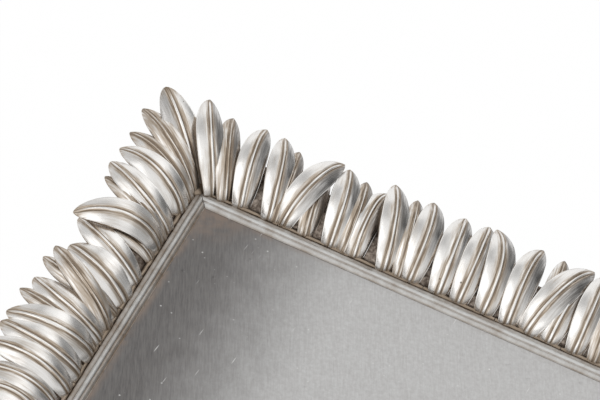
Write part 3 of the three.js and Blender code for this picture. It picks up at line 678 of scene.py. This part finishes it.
def add_leaf(bm, leaf):
    """One leaf: its outline is carried up the midrib and closed at the root and the tip"""
    tarnish_and_shade = bm.verts.layers.float.get("tarnish_and_shade") or bm.verts.layers.float.new("tarnish_and_shade")
    painted_shade = bm.verts.layers.float.get("painted_shade") or bm.verts.layers.float.new("painted_shade")
    grain = bm.verts.layers.float_vector.get("grain") or bm.verts.layers.float_vector.new("grain")
    spots = [leaf["root"].copy()]
    for step in range(leaf_steps):
        ahead = leaf_direction(leaf, (step + 0.5) / leaf_steps)
        spots.append(spots[-1] + ahead * (leaf["length"] / leaf_steps * MM))
    rng = leaf["rng"]
    seed = rng.uniform(0, 90)
    rib_shift = rng.uniform(-rib_stray, rib_stray)
    crown = rng.uniform(*fullness)
    roll = math.radians(leaf["roll"] + rng.uniform(-roll_spread, roll_spread))
    half = [(1, k, "rib") for k in range(len(rib_section))]
    half += [(1, k, "lobe") for k in range(len(lobe_section))]
    half += [(1, k, "back") for k in range(len(back_section))]
    other_half = [(-1, k, part) for _, k, part in reversed(half) if not (part == "rib" and k == 0)]
    loop = half + [(0, 0, "middle of the back")] + other_half
    count = len(loop)

    def place(vert, across, along):
        sign, k, part = loop[round(across * count) % count]
        # The rows stand closer together at the root and at the tip
        share = 0.55 * (0.5 - 0.5 * math.cos(math.pi * along)) + 0.45 * along
        at = min(share * leaf_steps, leaf_steps - 1e-6)
        spot = spots[int(at)].lerp(spots[int(at) + 1], at - int(at))
        side, above = leaf_axes(leaf, share, roll)
        swell = leaf_swell(share, leaf["tip_power"])
        width = leaf["width"] / 2 * swell
        rib = min((rib_half_width - rib_taper * share) * leaf["width"] / common_width, rib_most * width)
        nose = math.sqrt(1 - (1 - min((share + nose_start) / nose_length, 1)) ** 2)
        tip = min(1, (1 - share) / tip_length)
        if part == "rib":
            out, high, dirt = rib_section[k]
            out *= rib
            high *= rib_at_tip + (1 - rib_at_tip) * tip
            high = rib_foot + (high - rib_foot) * (0.5 + 0.5 * nose)
        elif part == "lobe":
            out, high, dirt = lobe_section[k]
            raised = high > 0
            out = rib + (width - rib) * out
            if sign > 0 and out < lobe_edge * width:
                high = lobe_crest - (lobe_crest - high) * leaf["fall"]
            if raised:
                high *= crown * nose * (lobe_at_tip + (1 - lobe_at_tip) * tip)
            dirt = max(dirt, nose_tarnish * (1 - nose))
        elif part == "back":
            out, high, dirt = back_section[k]
            out *= width
        else:
            out, high, dirt = 0, back_middle, 1
        shifted = rib_shift * width * (1 - out / max(width, 1e-6))
        edge = edge_waver * width * noise.noise(Vector((share * edge_waves, seed, 9 * sign)))
        out = sign * (out + (edge if part != "rib" else 0)) + shifted
        if part == "lobe":
            ripple = ripple_height * noise.noise(Vector((share * ripple_count, seed + sign, 1)))
            high += ripple * min(1, max(high, 0))
        tip_wash = tip_tarnish * rising(share, tip_tarnish_from, 1 - tip_tarnish_from)
        root_wash = root_tarnish * (1 - rising(share, 0, root_tarnish_to))
        vert[tarnish_and_shade] = min(1, max(dirt, tip_wash, root_wash) + leaf["behind_darkening"])
        # Painted shade: the lobe on the far side is marked to be painted a darker grey, in place of the
        # darker room it reflects.
        if sign < 0 and part != "rib":
            vert[painted_shade] = leaf["lee"] * rising(share, lee_from, lee_over)
        vert[grain] = (out + grain_apart * seed, share * leaf["length"], seed)
        return spot + (side * out + above * (high * swell)) * MM

    made = formed_grid(bm, count, leaf_rows, place)
    bmesh.ops.remove_doubles(bm, verts=made, dist=leaf_weld)
    bmesh.ops.holes_fill(bm, edges=[edge for edge in bm.edges if edge.is_boundary])


def side_leaf(side, row, rng):
    """A leaf of a side, from its row of shares; the narrow leaves stand behind and are darker"""
    place, lean, gain, length, width, extra_rise = row
    return {
        "root": on_side(side, side["run"] * place, root_line, root_height),
        "outward": side["outward"], "to_corner": -side["along"],
        "lean": lean * side["run"] / leaf_length, "sweep": gain * side["run"] / leaf_length,
        "rise": leaf_rise + extra_rise, "droop": leaf_droop, "length": leaf_length * length,
        "width": (side["run"] / side["leaves"] + leaf_lap) * width, "roll": leaf_roll, "rng": rng,
        "behind_darkening": narrow_leaf_darkening if width < narrow_leaf else 0,
        "tip_power": side["tip_power"], "fall": side["fall"], "lee": side["lee"],
    }


# Across a root bar: a small rounded strip, brown at its foot and rubbed along its top
bar_section = [(bar_inner, 0, 1), (bar_inner, bar_shoulder, 1), (bar_inner + bar_round, bar_round_top, 0.9),
               ((bar_inner + bar_outer) / 2, bar_top, 0.75), (bar_outer - bar_round, bar_round_top, 0.9),
               (bar_outer, bar_shoulder, 1), (bar_outer, 0, 1)]

# The leaves' pattern sizes: the streaks and the wash in millimetres across and along the leaf. The
# streaks are drawn coarser than real polishing marks and the grain coarser than a casting's, so
# that they show from the camera.
streak_size = (0.5, 9)
wash_size = (2.2, 13)
pinhole_spacing = 9 * MM
leaf_grain_size = 1.3 * MM
leaf_relief_depth = 0.06 * MM

# Antiqued silver: a bright, softly polished white metal on the crowns that turns warm grey and
# then brown where the antiquing wash stays, in the rib's grooves, at the roots and the tips. The
# lobe on the far side is darkened to grey with painted shade, a painted stand-in for the darker
# room that it reflects, and a few casting pinholes stay dark.
leaf_silver, tree = new_material("antiqued_silver_leaves")
coordinates = add(tree, "ShaderNodeTexCoord").outputs["Object"]
groove = add(tree, "ShaderNodeAttribute", attribute_name="tarnish_and_shade", attribute_type="GEOMETRY")
lengthwise = add(tree, "ShaderNodeAttribute", attribute_name="grain", attribute_type="GEOMETRY")
streak_map = add(tree, "ShaderNodeMapping", {"Scale": (1 / streak_size[0], 1 / streak_size[1], 1)},
                 {"Vector": lengthwise.outputs["Vector"]})
streaks = add(tree, "ShaderNodeTexNoise", {"Scale": 1, "Detail": 3, "Roughness": 0.55},
              {"Vector": streak_map.outputs[0]})
wash_map = add(tree, "ShaderNodeMapping", {"Scale": (1 / wash_size[0], 1 / wash_size[1], 1)},
               {"Vector": lengthwise.outputs["Vector"]})
wash = add(tree, "ShaderNodeTexNoise", {"Scale": 1, "Detail": 4, "Roughness": 0.6},
           {"Vector": wash_map.outputs[0]})
wash_amount = add(tree, "ShaderNodeMapRange", {"From Min": 0.3, "From Max": 0.7, "To Min": -0.16,
                                               "To Max": 0.3}, {"Value": wash.outputs["Fac"]})
streak_share = add(tree, "ShaderNodeMapRange", {"From Min": 0.3, "From Max": 0.7, "To Min": 0.45,
                                                "To Max": 1.5}, {"Value": streaks.outputs["Fac"]})
fine_streaks = add(tree, "ShaderNodeMath", {1: 0.65, 2: -0.32}, {0: streaks.outputs["Fac"]},
                   operation="MULTIPLY_ADD")
uneven = add(tree, "ShaderNodeMath", links={0: fine_streaks.outputs[0], 1: wash_amount.outputs[0]},
             operation="ADD")
dirt_level = add(tree, "ShaderNodeMath", links={0: groove.outputs["Fac"], 1: streak_share.outputs[0],
                                                2: uneven.outputs[0]},
                 operation="MULTIPLY_ADD", use_clamp=True)
tan_shade = add(tree, "ShaderNodeMapRange", {"From Min": 0.02, "From Max": 0.7},
                {"Value": dirt_level.outputs[0]}, interpolation_type="SMOOTHSTEP")
dirt_shade = add(tree, "ShaderNodeMapRange", {"From Min": 0.65, "From Max": 1.1},
                 {"Value": dirt_level.outputs[0]}, interpolation_type="SMOOTHSTEP")
tanned = add(tree, "ShaderNodeMix", {6: linear("#e8e6e4"), 7: linear("#b5a797")},
             {"Factor": tan_shade.outputs[0]}, data_type="RGBA")
# Painted shade: the far lobe's darker grey, streaked, mixed over the antiqued colour.
painted_shade = add(tree, "ShaderNodeAttribute", attribute_name="painted_shade", attribute_type="GEOMETRY")
far_lobe_shade_amount = add(tree, "ShaderNodeMath", links={0: painted_shade.outputs["Fac"], 1: streak_share.outputs[0]},
                 operation="MULTIPLY", use_clamp=True)
far_lobe_shaded = add(tree, "ShaderNodeMix", {7: linear("#888583")},
             {"Factor": far_lobe_shade_amount.outputs[0], 6: tanned.outputs[2]}, data_type="RGBA")
leaf_colour = add(tree, "ShaderNodeMix", {7: linear("#807162")},
                  {"Factor": dirt_shade.outputs[0], 6: far_lobe_shaded.outputs[2]}, data_type="RGBA")
holes = add(tree, "ShaderNodeTexVoronoi", {"Scale": 1 / pinhole_spacing, "Randomness": 1},
            {"Vector": coordinates})
pinholes = add(tree, "ShaderNodeMapRange", {"From Min": 0.025, "From Max": 0.045, "To Min": 1, "To Max": 0},
               {"Value": holes.outputs["Distance"]})
holed = add(tree, "ShaderNodeMix", {7: linear("#4a3d33")},
            {"Factor": pinholes.outputs[0], 6: leaf_colour.outputs[2]}, data_type="RGBA")
leaf_roughness = add(tree, "ShaderNodeMapRange", {"To Min": 0.24, "To Max": 0.48},
                     {"Value": tan_shade.outputs[0]})
leaf_grain = add(tree, "ShaderNodeTexNoise", {"Scale": 1 / leaf_grain_size, "Detail": 3, "Roughness": 0.6},
                 {"Vector": coordinates})
leaf_relief = add(tree, "ShaderNodeMath", {1: 0.3},
                  {0: streaks.outputs["Fac"], 2: leaf_grain.outputs["Fac"]}, operation="MULTIPLY_ADD")
holed_relief = add(tree, "ShaderNodeMath", links={0: leaf_relief.outputs[0], 1: pinholes.outputs[0]},
                   operation="SUBTRACT")
leaf_bump = add(tree, "ShaderNodeBump", {"Strength": 0.5, "Distance": leaf_relief_depth},
                {"Height": holed_relief.outputs[0]})
leaf_shader = add(tree, "ShaderNodeBsdfPrincipled", {"Metallic": 1},
                  {"Base Color": holed.outputs[2], "Roughness": leaf_roughness.outputs[0],
                   "Normal": leaf_bump.outputs[0]})
add(tree, "ShaderNodeOutputMaterial", links={"Surface": leaf_shader.outputs[0]})

# The four quarters that a casting is mirrored into: back or front, left or right, and their signs
quarters = [("back", "left", 1, 1), ("back", "right", -1, 1),
            ("front", "left", 1, -1), ("front", "right", -1, -1)]
bar_ends = {}
for name, side in sides.items():
    lists = castings[name]
    firsts = [rows[0][0] for rows in lists + [middle_rows[name]]]
    bounds = [side["run"] * (rows[-1][0] + firsts[i + 1]) / 2 for i, rows in enumerate(lists)]
    bar_ends[name] = bounds[-1]
    for i, rows in enumerate(lists):
        rng = random.Random(100 * side["run"] + i)
        bm = bmesh.new()
        start = corner_leaf_width / 4 - root_line if i == 0 else bounds[i - 1]
        sweep(bm, side, bar_section, start + casting_gap / 2, bounds[i] - casting_gap / 2, bar_pitch,
              lumps=bar_lump, lump_size=bar_lump_size, seed=i)
        for row in rows:
            add_leaf(bm, side_leaf(side, row, rng))
        for end, flank, x_sign, y_sign in quarters:
            node = f"{end}_leaves_{flank}" if name == "back" else f"{flank}_leaves_{end}"
            piece(f"spray_{node}_{i + 1}", mirrored(bm, x_sign, y_sign), [leaf_silver], "leaf_silver",
                  f"{node}_{i + 1}")
        bm.free()

# Middle sprays. The casting over the middle of each side, the same on both sides of its own
# middle, in the same antiqued silver. Those of the long sides have a leaf in the middle.
for name, opposite, signs in opposites:
    side = sides[name]
    rng = random.Random(5 + side["run"])
    half = bmesh.new()
    for row in middle_rows[name]:
        add_leaf(half, side_leaf(side, row, rng))
    bm = mirrored(half, *reversed(signs))
    other = bpy.data.meshes.new("other_half")
    half.to_mesh(other)
    half.free()
    bm.from_mesh(other)
    bpy.data.meshes.remove(other)
    for row in centre_rows[name]:
        centre = side_leaf(side, row, rng)
        centre["roll"] = 0
        add_leaf(bm, centre)
    sweep(bm, side, bar_section, bar_ends[name] + casting_gap / 2,
          2 * side["run"] - bar_ends[name] - casting_gap / 2, bar_pitch,
          lumps=bar_lump, lump_size=bar_lump_size, seed=31)
    piece(f"spray_{opposite}_middle", mirrored(bm, *signs), [leaf_silver], "leaf_silver",
          f"{opposite}_leaves_middle")
    piece(f"spray_{name}_middle", bm, [leaf_silver], "leaf_silver", f"{name}_leaves_middle")

# Corner castings. One at each corner: a broad, nearly straight leaf on the mitre with narrow leaves
# behind it, cast in one with the rounded end of the backing. A pad of solder holds its root.
corner_leaf_length = 42
corner_leaf_rise = 50
corner_tip_power = 0.55
# How much painted shade darkens the corner leaf's far lobe.
corner_lee = 0.4
corner_rows = [("back", (.02, .17, -.1, 1.18, 1, 0)), ("left", (-.005, .155, .115, 1.12, .85, -7)),
               ("left", (.035, .11, .09, .98, .8, -8))]
corner_arc = 9
corner_steps = 30
corner_lumps = 14
root_pad_radius = 3.8 * MM
root_pad_flatness = 0.5
root_pad_out = 0.5
root_pad_height = 0.6
root_pad_tarnish = 0.85


def corner_backing(bm):
    """The backing's outline, carried round the corner from one rail to the next"""
    layer = bm.verts.layers.float.get("tarnish_and_shade") or bm.verts.layers.float.new("tarnish_and_shade")
    count = len(rail_outline)
    back, left = sides["back"], sides["left"]
    straight = (corner_run / (corner_run + corner_arc)) / 2

    def place(vert, across, along):
        out, high, dirt = rail_outline[round(across * count) % count]
        vert[layer] = dirt
        if high > straight_foot:
            bump = rail_lump * noise.noise(Vector((along * corner_lumps, out / rail_lump_size,
                                                   high / rail_lump_size)))
            out -= bump
            high += bump
        if along < straight:
            return on_side(back, corner_run * (1 - along / straight) - root_line, out, high)
        if along > 1 - straight:
            return on_side(left, corner_run * (1 - (1 - along) / straight) - root_line, out, high)
        turn = math.pi / 2 * (along - straight) / (1 - 2 * straight)
        reach = (back["outward"] * math.cos(turn) + left["outward"] * math.sin(turn)) * (out - root_line)
        return on_side(back, -root_line, root_line, high) + reach * MM

    made = formed_grid(bm, count, corner_steps, place)
    bmesh.ops.remove_doubles(bm, verts=made, dist=fine_weld)
    bmesh.ops.holes_fill(bm, edges=[edge for edge in bm.edges if edge.is_boundary])


bm = bmesh.new()
corner_backing(bm)
for face in bm.faces:
    face.material_index = 1
rng = random.Random(77)
diagonal = (sides["back"]["outward"] + sides["left"]["outward"]).normalized()
add_leaf(bm, {
    "root": on_side(sides["back"], -root_line, root_line, root_height), "outward": diagonal,
    "to_corner": diagonal.cross(Vector((0, 0, 1))), "lean": 0, "sweep": 0, "rise": corner_leaf_rise,
    "droop": 0, "length": corner_leaf_length, "width": corner_leaf_width, "roll": 0, "rng": rng,
    "behind_darkening": 0, "tip_power": corner_tip_power, "fall": 1, "lee": corner_lee,
})
for name, row in corner_rows:
    add_leaf(bm, side_leaf(sides[name], row, rng))
tarnish_and_shade = bm.verts.layers.float["tarnish_and_shade"]
pad = bmesh.ops.create_uvsphere(bm, u_segments=32, v_segments=16, radius=root_pad_radius)["verts"]
bmesh.ops.scale(bm, verts=pad, vec=(1, 1, root_pad_flatness))
bmesh.ops.translate(bm, verts=pad, vec=on_side(sides["back"], -root_pad_out - root_line,
                                               root_line + root_pad_out, root_pad_height))
for vert in pad:
    vert[tarnish_and_shade] = root_pad_tarnish
for end, flank, x_sign, y_sign in quarters:
    piece(f"corner_{end}_{flank}", mirrored(bm, x_sign, y_sign), [leaf_silver, rail_patina],
          "leaf_silver", f"corner_leaves_{end}_{flank}")
bm.free()

# Studio. A flat sheet of white paper under the salver, a window-like lamp on the left and a lower
# one in front, in a room with soft lighter and darker patches that the polished leaves reflect.
paper_reach = 4
paper_drop = 0.2 * MM
floor_bm = bmesh.new()
bmesh.ops.create_grid(floor_bm, x_segments=1, y_segments=1, size=paper_reach)
bmesh.ops.translate(floor_bm, verts=floor_bm.verts[:], vec=(0, 0, -paper_drop))
floor_mesh = bpy.data.meshes.new("studio_floor")
floor_bm.to_mesh(floor_mesh)
floor_bm.free()
studio_floor = bpy.data.objects.new("studio_floor", floor_mesh)
bpy.context.scene.collection.objects.link(studio_floor)

# White paper: matt, but seen and reflected as plain white, as the photograph's background is, so
# that only a trace of the salver's shadow shows on it.
paper, tree = new_material("white_paper")
paper_plain = add(tree, "ShaderNodeBsdfDiffuse", {"Color": linear("#f4f4f3")})
paper_bright = add(tree, "ShaderNodeEmission", {"Color": (1, 1, 1, 1), "Strength": 1})
path = add(tree, "ShaderNodeLightPath")
seen = add(tree, "ShaderNodeMath",
           links={0: path.outputs["Is Camera Ray"], 1: path.outputs["Is Glossy Ray"]},
           operation="MAXIMUM")
seen_share = add(tree, "ShaderNodeMath", {1: 0.99}, {0: seen.outputs[0]}, operation="MULTIPLY")
paper_mix = add(tree, "ShaderNodeMixShader", links={0: seen_share.outputs[0], 1: paper_plain.outputs[0],
                                                    2: paper_bright.outputs[0]})
add(tree, "ShaderNodeOutputMaterial", links={"Surface": paper_mix.outputs[0]})
floor_mesh.materials.append(paper)

# Each soft patch of the room in degrees: its turn from straight behind the salver to the right, its
# height, the radius of its even part and of its faded edge, and how much lighter or darker it is
room_level = 0.82
room_patches = [(-112, 30, 30, 75, 0.05), (-176, 40, 25, 70, 0.2), (-65, 32, 10, 32, -0.12),
                (-18, 14, 14, 28, 0.28), (-33, 55, 9, 25, -0.24), (-2, 54, 10, 26, 0.48),
                (34, 16, 20, 31, -0.44), (74, 26, 14, 36, -0.34), (52, 66, 10, 24, 0.35)]
world = bpy.data.worlds.new("studio")
bpy.context.scene.world = world
world.use_nodes = True
tree = world.node_tree
tree.nodes.clear()
facing = add(tree, "ShaderNodeTexCoord").outputs["Generated"]
level = add(tree, "ShaderNodeMath", {0: room_level, 1: 0}, operation="ADD")
for turn, height, core, edge, gain in room_patches:
    turn, height = math.radians(turn), math.radians(height)
    direction = Vector((math.sin(turn) * math.cos(height), math.cos(turn) * math.cos(height),
                        math.sin(height)))
    toward = add(tree, "ShaderNodeVectorMath", {1: direction}, {0: facing}, operation="DOT_PRODUCT")
    patch = add(tree, "ShaderNodeMapRange",
                {"From Min": math.cos(math.radians(edge)), "From Max": math.cos(math.radians(core)),
                 "To Max": gain}, {"Value": toward.outputs["Value"]}, interpolation_type="SMOOTHSTEP")
    level = add(tree, "ShaderNodeMath", links={0: patch.outputs[0], 1: level.outputs[0]}, operation="ADD")
room = add(tree, "ShaderNodeBackground", {"Color": linear("#fcfcfb")}, {"Strength": level.outputs[0]})
add(tree, "ShaderNodeOutputWorld", links={"Surface": room.outputs[0]})


def soft_lamp(name, place, size, power, target=(-0.08, 0.05, 0.01)):
    """A lamp of that size in metres and power in watts, turned toward the salver's corner"""
    lamp = bpy.data.lights.new(name, "AREA")
    lamp.shape = "RECTANGLE"
    lamp.size, lamp.size_y = size
    lamp.energy = power
    made = bpy.data.objects.new(name, lamp)
    bpy.context.scene.collection.objects.link(made)
    made.location = place
    made.rotation_euler = (Vector(target) - Vector(place)).to_track_quat("-Z", "Y").to_euler()


soft_lamp("window_lamp", (-1.1, -0.5, 0.9), (1.4, 1.2), 2.8)
soft_lamp("front_lamp", (-0.1, -1.6, 0.3), (2.0, 0.9), 3)

bpy.context.scene.view_settings.view_transform = "Standard"
